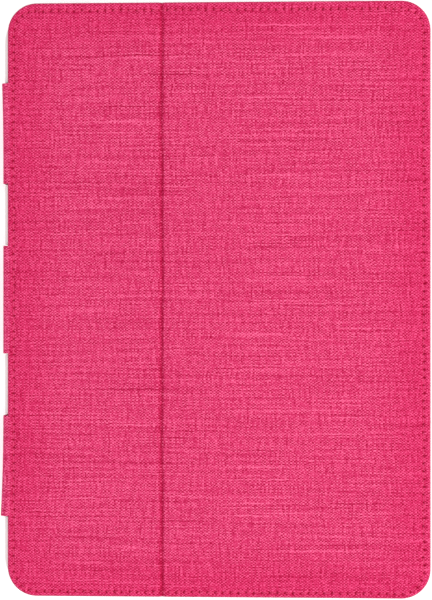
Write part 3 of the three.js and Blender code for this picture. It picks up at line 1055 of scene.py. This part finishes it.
trim_middle = (trim_low + trim_high) / 2
trim_radius = (trim_high.x - trim_low.x) / 2
back_window = ((trim_middle.x, trim_middle.y), trim_radius + TRIM_CLEARANCE)
pad_window = ((trim_middle.x, trim_middle.y), trim_radius - TRIM_OVERLAP)

back_fabric = cover_skin(
    "back_cover_fabric", back_low.z, facing=-1, has_crease=False, window=back_window
)
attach(back_fabric, "back")
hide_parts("back_fabric")

back_stitching = stitching(
    "back_stitching", back_low.z, facing=-1, has_crease=False, bed=THREAD_BED,
    material=cover_thread,
)
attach(back_stitching, "back")

back_layer = (back_lining_low.z, back_lining_high.z)
back_lining = lining_skin(
    "back_cover_lining", seam, back_layer, LINING_INSET, has_crease=False, window=back_window
)
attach(back_lining, "back")
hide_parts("back_lining")

pad_outline = Outline(pad_low.x, pad_high.x, pad_high.y, PAD_CORNER)
pad_layer = (pad_low.z, pad_high.z)
tablet_pad = lining_skin(
    "tablet_pad", pad_outline, pad_layer, 0.0, has_crease=False, window=pad_window
)
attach(tablet_pad, "back")
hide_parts("tray_pad")

# ---------------------------------------------------------------------------
# The spine tabs
# ---------------------------------------------------------------------------


def level(_y):
    return 0.0


def towards(low, high, amount, power):
    """How far a strip stands out at each y, which grows from none at low to the amount at high."""
    return lambda y: amount * min(1.0, max(0.0, (y - low) / (high - low))) ** power


def spine_tab(name, swell):
    low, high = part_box(f"{name}_tab_fabric")
    ends = (low.y, high.y)
    cover_side, middle_u = strip(
        f"{name}_tab_cover_cloth", COVER_SIDE_PATH, TAB_CLOTH, ends, swell, COVER_LEFT, tab_cloth_painted_sheen
    )
    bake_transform(cover_side)
    back_side, back_u = strip(
        f"{name}_tab_back_cloth", BACK_SIDE_PATH, TAB_CLOTH, ends, level, middle_u, tab_cloth_painted_sheen
    )
    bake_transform(back_side)
    inner_back, lining_u = strip(
        f"{name}_tab_back_lining", BACK_LINING_PATH, TAB_LINING, ends, level, COVER_LEFT,
        lining_cloth,
    )
    inner_cover, _ = strip(
        f"{name}_tab_cover_lining", COVER_LINING_PATH, TAB_LINING, ends, level, lining_u,
        lining_cloth,
    )
    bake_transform(inner_cover)
    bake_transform(inner_back)
    for piece in (cover_side, back_side):
        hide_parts(f"{name}_tab_fabric")
    for piece in (inner_cover, inner_back):
        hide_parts(f"{name}_tab_lining")


upper_low, upper_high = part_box("upper_tab_fabric")
lower_low, lower_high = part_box("lower_tab_fabric")
spine_tab("upper", towards(upper_low.y, upper_high.y, UPPER_SWELL, 3))
spine_tab("middle", level)
spine_tab("lower", towards(lower_high.y, lower_low.y, LOWER_SWELL, 2))

# ---------------------------------------------------------------------------
# Finishes and small edges of the pieces that keep their shape
# ---------------------------------------------------------------------------


def finish_node(name, material, edge=0.0):
    piece = frame["nodes"][name]
    piece.data.materials.clear()
    piece.data.materials.append(material)
    if edge:
        piece.modifiers.new("joined", "WELD").merge_threshold = WELD
        bevel = piece.modifiers.new("edge", "BEVEL")
        bevel.width = edge
        bevel.segments = BEVEL_SEGMENTS
        bevel.limit_method = "ANGLE"
        bevel.angle_limit = BEVEL_ANGLE


finish_node("tray_shell", tray_plastic, TRAY_EDGE)
finish_node("camera_trim", trim_plastic, TRIM_EDGE)
for name in ("back_board", "narrow_panel_board", "wide_panel_board"):
    finish_node(name, board)
for name in ("upper", "middle", "lower"):
    finish_node(f"{name}_tab_reinforcement", board)
for name in ("strike_plate_upper", "strike_plate_lower"):
    finish_node(name, rolled_steel, METAL_EDGE)
finish_node("wake_magnet", nickel, METAL_EDGE)
for number in range(1, 5):
    finish_node(f"closure_magnet_{number}", nickel, METAL_EDGE)

# ---------------------------------------------------------------------------
# Floor, light and camera
# ---------------------------------------------------------------------------


def make_floor():
    """A white table that glows a little."""
    mesh = bpy.data.meshes.new("floor")
    around = ((-1, -1), (1, -1), (1, 1), (-1, 1))
    corners = [(x * FLOOR_SIDE, y * FLOOR_SIDE, FLOOR_HEIGHT) for x, y in around]
    mesh.from_pydata(corners, [], [[0, 1, 2, 3]])
    material = bpy.data.materials.new("floor")
    material.use_nodes = True
    shader = material.node_tree.nodes["Principled BSDF"]
    shader.inputs["Base Color"].default_value = FLOOR_WHITE
    shader.inputs["Roughness"].default_value = FLOOR_ROUGHNESS
    shader.inputs["Emission Color"].default_value = (1, 1, 1, 1)
    shader.inputs["Emission Strength"].default_value = FLOOR_GLOW
    mesh.materials.append(material)
    floor = bpy.data.objects.new("floor", mesh)
    bpy.context.scene.collection.objects.link(floor)


def area_light(name, place, size, power):
    """A square light that points at the middle of the table."""
    light = bpy.data.lights.new(name, "AREA")
    light.shape = "SQUARE"
    light.size = size
    light.energy = power
    lamp = bpy.data.objects.new(name, light)
    lamp.location = place
    lamp.rotation_mode = "QUATERNION"
    lamp.rotation_quaternion = (-Vector(place)).to_track_quat("-Z", "Y")
    bpy.context.scene.collection.objects.link(lamp)


def light_world():
    """Even white light from all round."""
    world = bpy.data.worlds.new("studio")
    world.use_nodes = True
    background = world.node_tree.nodes["Background"]
    background.inputs["Color"].default_value = (1, 1, 1, 1)
    background.inputs["Strength"].default_value = WORLD_STRENGTH
    bpy.context.scene.world = world


def place_camera():
    """The photograph's viewpoint: above the front cover, and a little towards the free edge."""
    data = bpy.data.cameras.new("camera")
    data.lens = LENS
    data.sensor_width = SENSOR
    camera = bpy.data.objects.new("camera", data)
    direction = Vector((math.sin(CAMERA_TILT), 0, math.cos(CAMERA_TILT)))
    camera.location = AIM + CAMERA_DISTANCE * direction
    camera.rotation_euler = (0, CAMERA_TILT, 0)
    bpy.context.scene.collection.objects.link(camera)
    bpy.context.scene.camera = camera


make_floor()
area_light("key_from_the_free_side", KEY_PLACE, KEY_SIZE, KEY_POWER)
area_light("soft_overhead", OVERHEAD_PLACE, OVERHEAD_SIZE, OVERHEAD_POWER)
light_world()
place_camera()
bpy.context.scene.view_settings.view_transform = "Standard"
